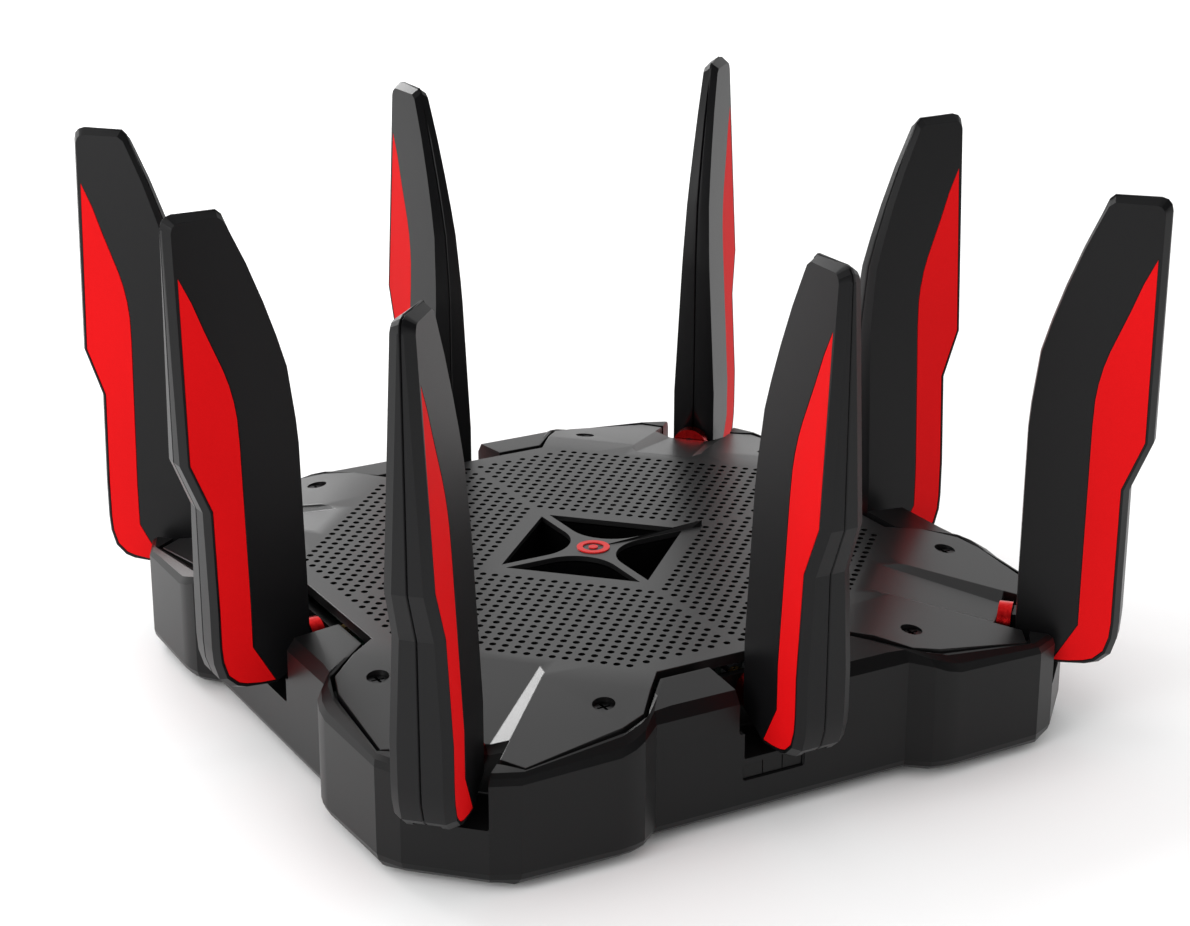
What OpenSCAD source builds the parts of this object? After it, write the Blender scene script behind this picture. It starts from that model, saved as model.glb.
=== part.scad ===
// Wireless router with eight folding blade antennas.
// Millimetres, +Z up, origin at the bottom centre on the table plane.
// Front (push buttons) faces -Y, ports are on +Y, USB sockets on +X.

/* [Body] */
// distance from the centre to a corner block's outer face
wall_d = 126; // [110:0.5:140]
// distance from the centre to the set-back wall between two corner blocks
mid_d = 119.3; // [105:0.1:130]
// distance from the centre to the corner panel, along the diagonal
corner_u = 157.5; // [140:0.5:175]
// underside of the body above the table
base_z = 2.5; // [1:0.5:6]
// top of the flat cover plate
top_z = 45.9; // [38:0.1:60]
// height where the corner walls end
rim_z = 38.3; // [30:0.1:42]
// wall thickness of both casings
wall_t = 2.4; // [1.6:0.1:4]

/* [Cover] */
// half width of the flat plate
plate_d = 97.4; // [85:0.1:110]
// half length of a plate edge
plate_m = 32.5; // [25:0.5:40]
// half width of the antenna slots at the corners
slot_w = 13.5; // [11:0.5:18]
// pitch of the vent rows
vent_pitch = 8.2; // [4:0.1:12]
// half diagonal of the centre diamond
gem_c = 36.4; // [28:0.1:45]

/* [Antennas] */
// inner edge of the side antennas, from the centre
ant_mid_r = 107.3; // [95:0.1:125]
// inner edge of the corner antennas, from the centre
ant_cor_r = 143.7; // [130:0.1:165]
// half thickness of a blade's foot at the inner edge
blade_h = 7.9; // [6:0.1:10]
// height of the hinge pin
pin_z = 34; // [28:0.5:40]
// distance from the blade's inner edge to its hinge pin
pin_x = 22.9; // [18:0.1:25]
// hinge pin radius
pin_r = 1.5; // [1:0.1:2.5]

/* [Hidden] */

q = sqrt(0.5);
black = [0.07, 0.07, 0.075];
dark = [0.11, 0.11, 0.115];
red = [0.80, 0.05, 0.05];
steel = [0.55, 0.56, 0.58];
green = [0.05, 0.22, 0.14];
az_mid = [0, 90, 180, 270];
az_cor = [45, 135, 225, 315];
screw_a = 106;
screw_b = 55.8;
pcb_z = 9.5;
jack_z = 35;
bay_x = 88;

// a point given along and across a diagonal, as seen from the side facing +X
function diag(u, w) = [(u - w) * q, (u + w) * q];
function turn(p, a) = [p[0] * cos(a) - p[1] * sin(a), p[0] * sin(a) + p[1] * cos(a)];
function ring4(pts) = [for (a = az_mid) for (p = pts) turn(p, a)];

// outline of the side facing +X, in [outward, along] pairs, thinned by t
function side_pts(t) = [
  [wall_d - 1.2 - t, -93.3 + t * 0.5], [wall_d - t, -61], [wall_d - 0.4 - t, -56],
  [wall_d - 1.5 - t, -52.2], [mid_d - t, -45.4], [mid_d - t, 45.4], [wall_d - 1.5 - t, 52.2],
  [wall_d - 0.4 - t, 56], [wall_d - t, 61], [wall_d - 1.2 - t, 93.3 - t * 0.5],
  diag(corner_u - t, -slot_w), diag(corner_u - t, slot_w)
];
// outline of the cover, g smaller all round
function cover_pts(g) = [
  [121.2 - g, -90 + g * 0.4], [119.6 - g, -57 - g * 0.6], [117 - g * 0.8, -48.5 - g],
  [107 - g * 0.6, -40.3 - g * 0.8], [plate_d - g, -plate_m], [plate_d - g, plate_m],
  [107 - g * 0.6, 40.3 + g * 0.8], [117 - g * 0.8, 48.5 + g], [119.6 - g, 57 + g * 0.6],
  [121.2 - g, 90 - g * 0.4], diag(147 - g, -14), diag(147 - g, 14)
];
// side view of the cover across a diagonal, lowered by g
function roof_pts(g) = [
  [-150, 30], [-150, 38.2 - g], [-104.6 + g * 0.1, top_z - g], [104.6 - g * 0.1, top_z - g],
  [150, 38.2 - g], [150, 30]
];
// one triangular well of the centre diamond, shrunk by g
function well_pts(g) = concat(
  [[1.5 + g, 34.2 - g * 2.4]],
  [for (i = [0:8]) [17 - (15.5 - g) * cos(i * 11.25), 17 - (15.5 - g) * sin(i * 11.25)]],
  [[34.2 - g * 2.4, 1.5 + g]]
);
// blade outline in [from inner edge, height] pairs
blade_pts = [
  [0, 33], [0, 104], [0.5, 112], [2.4, 129], [5.2, 139], [8.8, 150], [13.7, 163], [18.5, 174],
  [20.3, 178.5], [22, 180], [35.5, 180], [37.6, 178.4], [38.3, 175.5], [38.3, 103], [32, 87],
  [32, 42], [31.4, 36.4], [29.6, 31.2], [26.4, 28.1], [23.4, 27], [13, 26.2]
];
stripe_pts = [
  [36.4, 161.3], [32.7, 153.4], [29.3, 144.2], [26.5, 137.2], [24.1, 131.2], [22.5, 126.2],
  [21.3, 120.8], [20.6, 115.5], [20.3, 107], [20.3, 40.2], [12.9, 27.2], [18, 27.5], [22.7, 28.2],
  [25.6, 29.2], [28.8, 32.2], [30.3, 37.2], [30.6, 42], [30.6, 87.1], [36.9, 103.1]
];

module radial(a, r) {
  rotate([0, 0, a]) translate([r, 0, 0]) children();
}

module upright(h) {
  rotate([90, 0, 0]) linear_extrude(height = h, center = true) children();
}

// a layer of one half of a blade, between a and b from its side face; the face leans in
// towards the tip and towards the inner edge
module wedge(a, b, side) {
  top = 1.6 - blade_h;
  rotate([0, 0, side * 2.7]) rotate([90, 0, 90]) translate([0, 0, -5]) linear_extrude(height = 60)
    polygon([
      [side * (blade_h + a), 20], [side * (blade_h + b), 20], [side * (blade_h + b), 55],
      [side * (blade_h + top + b), 181], [side * (blade_h + top + a), 181], [side * (blade_h + a), 55]
    ]);
}

// everything on one side of a blade's seam
module beside_seam(side) {
  translate([-10, side > 0 ? 0 : -20, 0]) cube([60, 20, 200]);
}

module blade_half(a, r, side) {
  color(black) radial(a, r) difference() {
    union() {
      intersection() {
        upright(30) polygon(blade_pts);
        wedge(-30, 0, side);
        beside_seam(side);
      }
      intersection() {
        upright(30) polygon([
          [30, 33], [33.3, 36], [33.3, 86.6], [39.6, 102.6], [39.6, 175.6], [38, 179], [30, 176]
        ]);
        wedge(-30, -2.2, side);
        beside_seam(side);
      }
    }
    intersection() {
      upright(30) polygon(stripe_pts);
      wedge(-0.6, 0.5, side);
    }
    translate([-2, -4.3, 20]) cube([pin_x + 8, 8.6, 20]);
    translate([6, -0.4, 44]) cube([18, 0.8, 64]);
    translate([12, -0.4, 107]) cube([12, 0.8, 40]);
    translate([pin_x, 0, pin_z]) rotate([90, 0, 0])
      cylinder(r = pin_r + 0.05, h = 14, center = true, $fn = 48);
  }
}

module stripes(a, r) {
  color(red) radial(a, r) for (side = [-1, 1]) intersection() {
    upright(30) polygon(stripe_pts);
    wedge(-0.6, 0, side);
  }
}

module radiator(a, r) {
  color(green) radial(a, r) union() {
    translate([7, -0.4, 45]) cube([16, 0.8, 62]);
    translate([13, -0.4, 106]) cube([10, 0.8, 40]);
  }
}

module corner_voids() {
  for (a = az_cor) radial(a, 0) translate([ant_cor_r - 7.5, -slot_w, 20.8]) cube([40, slot_w * 2, 40]);
}

module mid_voids() {
  for (a = az_mid) radial(a, 0) {
    translate([ant_mid_r - 7.5, -14.5, 21.6]) cube([30, 29, 40]);
    translate([ant_mid_r - 7.5, -16.5, 30]) cube([30, 33, 30]);
  }
}

// bevels along the bottom and the shoulder of the casing
module casing_limit() {
  module cut(d, c, k) {
    upright(400) polygon([
      [c - d, base_z], [d - c, base_z], [d, base_z + c], [d, rim_z - k], [d - k, rim_z], [d - k, 60],
      [k - d, 60], [k - d, rim_z], [-d, rim_z - k], [-d, base_z + c]
    ]);
  }
  intersection() {
    cut(wall_d, 4, 4);
    rotate([0, 0, 90]) cut(wall_d, 4, 4);
    rotate([0, 0, 45]) cut(corner_u, 4, 3);
    rotate([0, 0, -45]) cut(corner_u, 4, 3);
  }
}

module mid_block() {
  intersection() {
    translate([0, 0, 30]) linear_extrude(height = 20) polygon([
      [99.8, -34], [99.8, 34], [107.2, 39.2], [118, 48], [mid_d, 52], [mid_d, -52], [118, -48],
      [107.2, -39.2]
    ]);
    rotate([90, 0, 0]) linear_extrude(height = 120, center = true) polygon([
      [99.8, 30], [99.8, 45.4], [102, 45.4], [116.4, 44.2], [mid_d, 40.3], [mid_d, 30]
    ]);
  }
}

module mid_block_hollow() {
  for (s = [-1, 1]) translate([102, s > 0 ? 19 : -37, 4]) cube([14.6, 18, 38]);
}

module screw_bosses(r, z0, z1, azimuths = az_mid) {
  for (a = azimuths) radial(a, 0) for (s = [-1, 1])
    translate([screw_a, s * screw_b, z0]) cylinder(r = r, h = z1 - z0, $fn = 32);
}

// the two rear screw posts stop above the sockets and hang on a rib from the rear wall
module rear_posts() {
  screw_bosses(4.2, 19, 36.2, [90]);
  for (s = [-1, 1]) translate([s * screw_b - 0.8, 106, 19]) cube([1.6, 18, 14]);
}

module pcb_bosses(r, z0, z1) {
  for (x = [-74, 74]) for (y = [-74, 74]) translate([x, y, z0]) cylinder(r = r, h = z1 - z0, $fn = 32);
}

// round holes or rods on the antenna axes, from x0 for len outwards
module on_axes(r, x0, len) {
  for (a = az_mid) radial(a, ant_mid_r + x0) translate([0, 0, jack_z]) rotate([0, 90, 0])
    cylinder(r = r, h = len, $fn = 32);
  for (a = az_cor) radial(a, ant_cor_r + x0) translate([0, 0, jack_z]) rotate([0, 90, 0])
    cylinder(r = r, h = len, $fn = 32);
}

module bottom_case() {
  color(black) difference() {
    intersection() {
      casing_limit();
      union() {
        difference() {
          translate([0, 0, base_z]) linear_extrude(height = rim_z - base_z) polygon(ring4(side_pts(0)));
          translate([0, 0, base_z + 2.4]) linear_extrude(height = 40) polygon(ring4(side_pts(wall_t)));
        }
        difference() {
          translate([0, 0, 33.8]) linear_extrude(height = rim_z - 33.8) polygon(ring4(side_pts(1)));
          translate([0, 0, 30]) linear_extrude(height = 20) polygon(ring4(cover_pts(2.2)));
          translate([0, 0, 36.3]) linear_extrude(height = 20) polygon(ring4(cover_pts(-0.5)));
        }
        for (a = az_mid) radial(a, 0) {
          difference() {
            mid_block();
            mid_block_hollow();
          }
          translate([ant_mid_r - 9.5, -18.5, 20.2]) cube([mid_d - 1 - ant_mid_r + 9.5, 37, 18]);
        }
        for (a = az_cor) radial(a, 0)
          translate([ant_cor_r - 9.5, -slot_w - 2, 19]) cube([22, slot_w * 2 + 4, 17]);
        screw_bosses(4.2, 4, 36.2, [0, 180, 270]);
        rear_posts();
        pcb_bosses(4, 4, pcb_z);
        for (x = [-17.6, 9.1]) translate([x, -112, 4]) cube([1.5, 5, 15]);
      }
    }
    corner_voids();
    mid_voids();
    screw_bosses(1.5, 12, 50);
    pcb_bosses(1.3, 3.9, 20);
    on_axes(3.5, -18.5, 14.5);
    translate([-bay_x, 115, 4]) cube([bay_x * 2, 22, 14.4]);
    for (s = [-1, 1]) translate([112, s * 26 - 7.1, 7.2]) cube([10, 14.2, 7]);
    translate([-15, -mid_d - 1, 14.2]) cube([22.5, 2.4, 5.7]);
    translate([-14.6, -mid_d - 1, 14.5]) cube([21.7, 6, 5.1]);
    for (i = [-5:5]) for (y = [-60, 26]) translate([i * 9 - 2, y, 0]) cube([3.4, 34, 8]);
  }
}

module vents() {
  for (a = az_cor) radial(a, 0) for (i = [0:7]) {
    u = 32.4 + i * vent_pitch;
    len = min(u - 5, 125 - u);
    for (s = [-1, 1]) translate([u - 1.1, s > 0 ? 2 : -len, 30]) cube([2.2, len - 2, 30]);
  }
}

module channel() {
  for (a = az_cor) radial(a, 0) {
    rotate([90, 0, 0]) linear_extrude(height = 18, center = true)
      polygon([[97.5, top_z + 4], [97.5, top_z], [139, 37.8], [139, top_z + 4]]);
    for (s = [-1, 1]) intersection() {
      rotate([90, 0, 0]) linear_extrude(height = 27, center = true)
        polygon([[99, top_z + 4], [99, top_z], [139, 38.9], [139, top_z + 4]]);
      translate([95, s > 0 ? 0 : -slot_w, 30]) cube([50, slot_w, 30]);
    }
  }
}

module top_cover() {
  color(dark) difference() {
    intersection() {
      translate([0, 0, 36.7]) linear_extrude(height = 20) polygon(ring4(cover_pts(0)));
      rotate([0, 0, 45]) upright(400) polygon(roof_pts(0));
      rotate([0, 0, -45]) upright(400) polygon(roof_pts(0));
    }
    difference() {
      intersection() {
        translate([0, 0, 30]) linear_extrude(height = 20) polygon(ring4(cover_pts(2.4)));
        rotate([0, 0, 45]) upright(400) polygon(roof_pts(2.2));
        rotate([0, 0, -45]) upright(400) polygon(roof_pts(2.2));
      }
      screw_bosses(5.6, 36.7, 60);
      for (a = az_cor) radial(a, 0) {
        rotate([90, 0, 0]) linear_extrude(height = 32, center = true)
          polygon([[94, top_z], [94, top_z - 3], [139, 35.4], [139, top_z]]);
        translate([ant_cor_r - 12, -slot_w - 2, 36.7]) cube([30, slot_w * 2 + 4, 8]);
      }
    }
    channel();
    for (a = az_cor) radial(a, 0)
      translate([ant_cor_r - 6.2, -slot_w, 30]) cube([40, slot_w * 2, 40]);
    screw_bosses(3.7, 41.6, 60);
    screw_bosses(1.8, 30, 60);
    vents();
    for (a = az_mid) rotate([0, 0, a]) translate([0, 0, 40]) linear_extrude(height = 10)
      polygon(well_pts(0));
    on_axes(7.3, -6.3, 30);
    on_axes(2.9, -22, 30);
  }
}

module centre_tray() {
  color(black) difference() {
    translate([0, 0, 31]) linear_extrude(height = 12.5)
      polygon([[38, 0], [0, 38], [-38, 0], [0, -38]]);
    for (a = az_mid) rotate([0, 0, a]) translate([0, 0, 33]) linear_extrude(height = 20)
      polygon(well_pts(0));
    translate([0, 0, 30]) cylinder(r = 4, h = 20, $fn = 32);
  }
}

module emblem() {
  color(red) union() {
    difference() {
      translate([0, 0, top_z]) cylinder(r = 5.6, h = 0.4, $fn = 48);
      translate([0, 0, top_z - 1]) cylinder(r = 3.6, h = 3, $fn = 48);
    }
    translate([0, 0, top_z]) cylinder(r = 1.6, h = 0.4, $fn = 32);
  }
}

module emblem_light() {
  color(green) union() {
    translate([-9, -9, 29.2]) cube([18, 18, 1.6]);
    translate([-1.5, -1.5, 30.7]) cube([3, 3, 1.2]);
  }
}

module main_board() {
  color(green) union() {
    difference() {
      translate([-84, -84, pcb_z]) cube([168, 184, 1.6]);
      pcb_bosses(1.7, 5, 15);
    }
    translate([79, 97, pcb_z]) cube([5, 11, 5]);
  }
}

module heatsink() {
  color(steel) union() {
    translate([-60, -60, 14.6]) cube([120, 112, 2.4]);
    for (i = [0:14]) translate([-58 + i * 8, -58, 16.9]) cube([1.4, 108, 10]);
  }
}

module shield_cans() {
  color(steel) for (x = [-50, 14]) translate([x, -48, 11.1]) difference() {
    cube([36, 40, 3.5]);
    translate([0.5, 0.5, -1]) cube([35, 39, 4]);
  }
}

module jack_shell(w, d, z0, h) {
  difference() {
    translate([-w / 2, 116.9 - d, z0]) cube([w, d, h]);
    translate([-w / 2 + 1.6, 118 - d, z0 + 2.2]) cube([w - 3.2, d + 2, h - 4.2]);
  }
}

module lan_ports() {
  color(steel) for (i = [0:7]) translate([i * 16 - 42, 0, 0]) jack_shell(15.6, 15, 5, 13);
}

module wan_port() {
  color(steel) translate([-62, 0, 0]) jack_shell(15.6, 15, 5, 13);
}

module usb_ports() {
  color(steel) for (s = [-1, 1]) translate([103.6, s * 26 - 6.8, 7.5]) difference() {
    cube([15.4, 13.6, 6.4]);
    translate([1, 0.7, 0.7]) cube([16, 12.2, 5]);
  }
}

module dc_jack() {
  color(black) translate([-79, 116.9, 11.4]) rotate([90, 0, 0]) union() {
    difference() {
      translate([0, 0, 6]) cube([10.5, 11, 12], center = true);
      translate([0, 0, -1]) cylinder(r = 3.3, h = 11, $fn = 32);
    }
    cylinder(r = 0.9, h = 11, $fn = 24);
  }
}

module rear_io_panel() {
  color(dark) difference() {
    translate([-bay_x + 0.3, 117.2, 4.3]) cube([bay_x * 2 - 0.6, 1.8, 13.8]);
    for (x = [-62, -42, -26, -10, 6, 22, 38, 54, 70]) translate([x - 6.2, 110, 7.2])
      cube([12.4, 20, 8.8]);
    translate([-79, 130, 11.4]) rotate([90, 0, 0]) cylinder(r = 4.6, h = 20, $fn = 32);
    translate([82, 130, 12]) rotate([90, 0, 0]) cylinder(r = 3.3, h = 20, $fn = 32);
  }
}

module power_button() {
  color(black) translate([82, 120.4, 12]) rotate([90, 0, 0]) union() {
    cylinder(r = 3, h = 11.2, $fn = 32);
    translate([0, 0, 4]) cylinder(r = 3.6, h = 1.2, $fn = 32);
  }
}

module push_button(x) {
  color(black) union() {
    translate([x, -118.4, 14.8]) cube([6.8, 6.4, 4.5]);
    translate([x, -114.4, 13.6]) cube([6.8, 1.2, 5.7]);
  }
}

module wifi_button() {
  push_button(-14.3);
}

module light_button() {
  push_button(-7.15);
}

module pairing_button() {
  push_button(0);
}

module button_board() {
  color(green) union() {
    translate([-16.1, -109.6, 5]) cube([25.2, 1.6, 14.4]);
    for (x = [-12.9, -5.75, 1.4]) translate([x, -111, 15.4]) cube([4, 1.5, 3]);
  }
}

module antenna_jacks() {
  color(steel) on_axes(2.6, -17.5, 8);
}

module antenna_collars() {
  color(red) difference() {
    on_axes(6.8, -6, 4.4);
    on_axes(3.4, -8, 8);
  }
}

module arm() {
  difference() {
    union() {
      translate([-9.5, 0, jack_z]) rotate([0, 90, 0]) cylinder(r = 2.6, h = 9.5, $fn = 32);
      translate([-6, 0, jack_z]) rotate([0, 90, 0]) cylinder(r = 3.4, h = 6, $fn = 32);
      translate([-1.4, -4, 29.5]) cube([pin_x + 1.4, 8, 10]);
      translate([pin_x, 0, pin_z]) rotate([90, 0, 0])
        cylinder(r = 5.5, h = 8, center = true, $fn = 48);
    }
    translate([pin_x, 0, pin_z]) rotate([90, 0, 0])
      cylinder(r = pin_r, h = 20, center = true, $fn = 48);
  }
}

module antenna_arms() {
  color(black) {
    for (a = az_mid) radial(a, ant_mid_r) arm();
    for (a = az_cor) radial(a, ant_cor_r) arm();
  }
}

module pin() {
  translate([pin_x, 0, pin_z]) rotate([90, 0, 0]) cylinder(r = pin_r, h = 13.8, center = true, $fn = 48);
}

module hinge_pins() {
  color(steel) {
    for (a = az_mid) radial(a, ant_mid_r) pin();
    for (a = az_cor) radial(a, ant_cor_r) pin();
  }
}

module lead() {
  union() {
    translate([-30, 0, jack_z]) rotate([0, 90, 0]) cylinder(r = 0.8, h = 12.5, $fn = 16);
    translate([-30, 0, pcb_z + 1.6]) cylinder(r = 0.8, h = jack_z - pcb_z - 0.9, $fn = 16);
  }
}

module coax_leads() {
  color(black) {
    for (a = az_mid) radial(a, ant_mid_r) lead();
    for (a = az_cor) radial(a, ant_cor_r) lead();
  }
}

module cover_screws() {
  color(steel) for (a = az_mid) radial(a, 0) for (s = [-1, 1])
    translate([screw_a, s * screw_b, 0]) difference() {
      union() {
        translate([0, 0, 41.6]) cylinder(r = 3.3, h = 1.5, $fn = 32);
        translate([0, 0, 20]) cylinder(r = 1.5, h = 22, $fn = 24);
      }
      translate([-2.2, -0.45, 42.2]) cube([4.4, 0.9, 3]);
      translate([-0.45, -2.2, 42.2]) cube([0.9, 4.4, 3]);
    }
}

module case_screws() {
  color(steel) for (x = [-74, 74]) for (y = [-74, 74]) translate([x, y, 0]) union() {
    translate([0, 0, pcb_z + 1.6]) cylinder(r = 2.8, h = 1.8, $fn = 32);
    translate([0, 0, 5]) cylinder(r = 1.3, h = pcb_z - 3, $fn = 24);
  }
}

module rubber_feet() {
  color(black) for (x = [-84, 84]) for (y = [-84, 84]) translate([x, y, 0])
    cylinder(r = 9, h = base_z, $fn = 48);
}

module ant_front_shell_a() {
  blade_half(270, ant_mid_r, -1);
}

module ant_front_shell_b() {
  blade_half(270, ant_mid_r, 1);
}

module ant_front_stripes() {
  stripes(270, ant_mid_r);
}

module ant_front_radiator() {
  radiator(270, ant_mid_r);
}

module ant_front_right_shell_a() {
  blade_half(315, ant_cor_r, -1);
}

module ant_front_right_shell_b() {
  blade_half(315, ant_cor_r, 1);
}

module ant_front_right_stripes() {
  stripes(315, ant_cor_r);
}

module ant_front_right_radiator() {
  radiator(315, ant_cor_r);
}

module ant_right_shell_a() {
  blade_half(0, ant_mid_r, -1);
}

module ant_right_shell_b() {
  blade_half(0, ant_mid_r, 1);
}

module ant_right_stripes() {
  stripes(0, ant_mid_r);
}

module ant_right_radiator() {
  radiator(0, ant_mid_r);
}

module ant_rear_right_shell_a() {
  blade_half(45, ant_cor_r, -1);
}

module ant_rear_right_shell_b() {
  blade_half(45, ant_cor_r, 1);
}

module ant_rear_right_stripes() {
  stripes(45, ant_cor_r);
}

module ant_rear_right_radiator() {
  radiator(45, ant_cor_r);
}

module ant_rear_shell_a() {
  blade_half(90, ant_mid_r, -1);
}

module ant_rear_shell_b() {
  blade_half(90, ant_mid_r, 1);
}

module ant_rear_stripes() {
  stripes(90, ant_mid_r);
}

module ant_rear_radiator() {
  radiator(90, ant_mid_r);
}

module ant_rear_left_shell_a() {
  blade_half(135, ant_cor_r, -1);
}

module ant_rear_left_shell_b() {
  blade_half(135, ant_cor_r, 1);
}

module ant_rear_left_stripes() {
  stripes(135, ant_cor_r);
}

module ant_rear_left_radiator() {
  radiator(135, ant_cor_r);
}

module ant_left_shell_a() {
  blade_half(180, ant_mid_r, -1);
}

module ant_left_shell_b() {
  blade_half(180, ant_mid_r, 1);
}

module ant_left_stripes() {
  stripes(180, ant_mid_r);
}

module ant_left_radiator() {
  radiator(180, ant_mid_r);
}

module ant_front_left_shell_a() {
  blade_half(225, ant_cor_r, -1);
}

module ant_front_left_shell_b() {
  blade_half(225, ant_cor_r, 1);
}

module ant_front_left_stripes() {
  stripes(225, ant_cor_r);
}

module ant_front_left_radiator() {
  radiator(225, ant_cor_r);
}

bottom_case();
top_cover();
centre_tray();
emblem();
emblem_light();
main_board();
heatsink();
shield_cans();
lan_ports();
wan_port();
usb_ports();
dc_jack();
rear_io_panel();
power_button();
wifi_button();
light_button();
pairing_button();
button_board();
antenna_jacks();
antenna_collars();
antenna_arms();
hinge_pins();
coax_leads();
cover_screws();
case_screws();
rubber_feet();
ant_front_shell_a();
ant_front_shell_b();
ant_front_stripes();
ant_front_radiator();
ant_front_right_shell_a();
ant_front_right_shell_b();
ant_front_right_stripes();
ant_front_right_radiator();
ant_right_shell_a();
ant_right_shell_b();
ant_right_stripes();
ant_right_radiator();
ant_rear_right_shell_a();
ant_rear_right_shell_b();
ant_rear_right_stripes();
ant_rear_right_radiator();
ant_rear_shell_a();
ant_rear_shell_b();
ant_rear_stripes();
ant_rear_radiator();
ant_rear_left_shell_a();
ant_rear_left_shell_b();
ant_rear_left_stripes();
ant_rear_left_radiator();
ant_left_shell_a();
ant_left_shell_b();
ant_left_stripes();
ant_left_radiator();
ant_front_left_shell_a();
ant_front_left_shell_b();
ant_front_left_stripes();
ant_front_left_radiator();
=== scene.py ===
# %% [markdown]
# # A wireless router with eight blade antennas
# The router is a flat square box of black plastic. Eight tall blades stand in slots round its rim, each
# with a red stripe down both faces. The box has a perforated cover held by eight screws, and a glossy
# diamond with four wells in the middle. The CAD model is loaded first and fixes every size; each cell
# below then makes one piece of the outside, or one finish.

# %% Load the frame
import bpy
import math
from mathutils import Matrix, Vector


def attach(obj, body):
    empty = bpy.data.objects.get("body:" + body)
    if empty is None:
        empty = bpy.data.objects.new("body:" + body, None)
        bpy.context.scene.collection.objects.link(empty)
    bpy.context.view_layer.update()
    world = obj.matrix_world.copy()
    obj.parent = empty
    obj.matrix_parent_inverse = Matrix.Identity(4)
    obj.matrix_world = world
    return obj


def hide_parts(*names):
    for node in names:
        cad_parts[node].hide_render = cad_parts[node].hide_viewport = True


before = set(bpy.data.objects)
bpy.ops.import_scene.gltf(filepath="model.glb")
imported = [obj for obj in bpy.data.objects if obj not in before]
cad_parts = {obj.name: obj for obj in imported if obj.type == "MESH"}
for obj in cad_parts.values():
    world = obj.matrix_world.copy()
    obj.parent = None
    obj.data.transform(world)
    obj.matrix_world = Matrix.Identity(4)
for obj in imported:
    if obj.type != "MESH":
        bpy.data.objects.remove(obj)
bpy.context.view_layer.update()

MM = 0.001

# %% [markdown]
# ## Small helpers
# Most parts of a moulded box start from an outline. A circle gets as many corners as the outline has
# points, each corner is put in its place, and the edit-mode operators do the rest: extrude, bevel, bisect.
# Operators act on what is selected, so every helper clears the selection first.

# %% Helpers for outlines and selections
def nothing_selected():
    if bpy.context.object and bpy.context.object.mode != "OBJECT":
        bpy.ops.object.mode_set(mode="OBJECT")
    bpy.ops.object.select_all(action="DESELECT")


def outline(name, points, fill="NGON"):
    """A closed loop of corners, in millimetres, as a new object."""
    nothing_selected()
    bpy.ops.mesh.primitive_circle_add(vertices=len(points), radius=0.01, fill_type=fill)
    piece = bpy.context.object
    piece.name = piece.data.name = name
    for corner, point in zip(piece.data.vertices, points):
        corner.co = Vector(point) * MM
    return piece


def use(piece):
    nothing_selected()
    bpy.context.view_layer.objects.active = piece
    piece.select_set(True)


def pick(piece, kind, test):
    """Goes into edit mode with only those corners, edges or faces selected that pass the test."""
    use(piece)
    bpy.ops.object.mode_set(mode="EDIT")
    bpy.ops.mesh.select_mode(type=kind)
    bpy.ops.mesh.select_all(action="DESELECT")
    bpy.ops.object.mode_set(mode="OBJECT")
    at = piece.data.vertices
    if kind == "FACE":
        for face in piece.data.polygons:
            face.select = test(face.center / MM, face.normal)
    elif kind == "EDGE":
        for edge in piece.data.edges:
            edge.select = test(at[edge.vertices[0]].co / MM, at[edge.vertices[1]].co / MM)
    else:
        for corner in at:
            corner.select = test(corner.co / MM)
    bpy.ops.object.mode_set(mode="EDIT")


def pick_open_edges(piece, loose):
    """Goes into edit mode with only the edges selected that have one face; loose adds those with none."""
    use(piece)
    bpy.ops.object.mode_set(mode="EDIT")
    bpy.ops.mesh.select_mode(type="EDGE")
    bpy.ops.mesh.select_all(action="DESELECT")
    bpy.ops.mesh.select_non_manifold(extend=False, use_wire=loose, use_boundary=True,
                                     use_multi_face=False, use_non_contiguous=False, use_verts=False)


def pull(z):
    """Extrudes what is selected, straight up or down."""
    bpy.ops.mesh.extrude_region_move(TRANSFORM_OT_translate={"value": (0, 0, z * MM)})


def outward(piece):
    """All faces of a closed piece point outwards."""
    pick(piece, "VERT", lambda p: True)
    bpy.ops.mesh.remove_doubles(threshold=0.002 * MM)
    bpy.ops.mesh.normals_make_consistent(inside=False)
    bpy.ops.object.mode_set(mode="OBJECT")


def face_up(piece):
    """All faces of an open sheet turn the same way, and that way is up."""
    pick(piece, "FACE", lambda c, n: True)
    bpy.ops.mesh.normals_make_consistent(inside=False)
    bpy.ops.object.mode_set(mode="OBJECT")
    if sum(f.normal.z * f.area for f in piece.data.polygons) < 0:
        pick(piece, "FACE", lambda c, n: True)
        bpy.ops.mesh.flip_normals()
        bpy.ops.object.mode_set(mode="OBJECT")


def prism(name, points, z0, z1):
    """An outline in plan, pulled up from z0 to z1."""
    piece = outline(name, [(x, y, z0) for x, y in points])
    pick(piece, "FACE", lambda c, n: True)
    pull(z1 - z0)
    outward(piece)
    return piece


def block(name, x0, x1, y0, y1, z0, z1, edge=0.0):
    """A box between two corners, with its edges rounded."""
    nothing_selected()
    bpy.ops.mesh.primitive_cube_add(size=1, location=(0, 0, 0))
    piece = bpy.context.object
    piece.name = piece.data.name = name
    for corner in piece.data.vertices:
        x, y, z = corner.co
        corner.co = Vector((x1 if x > 0 else x0, y1 if y > 0 else y0, z1 if z > 0 else z0)) * MM
    if edge:
        pick(piece, "EDGE", lambda a, b: True)
        bpy.ops.mesh.bevel(offset=edge * MM, segments=3, affect="EDGES")
        bpy.ops.object.mode_set(mode="OBJECT")
    return piece


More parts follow.
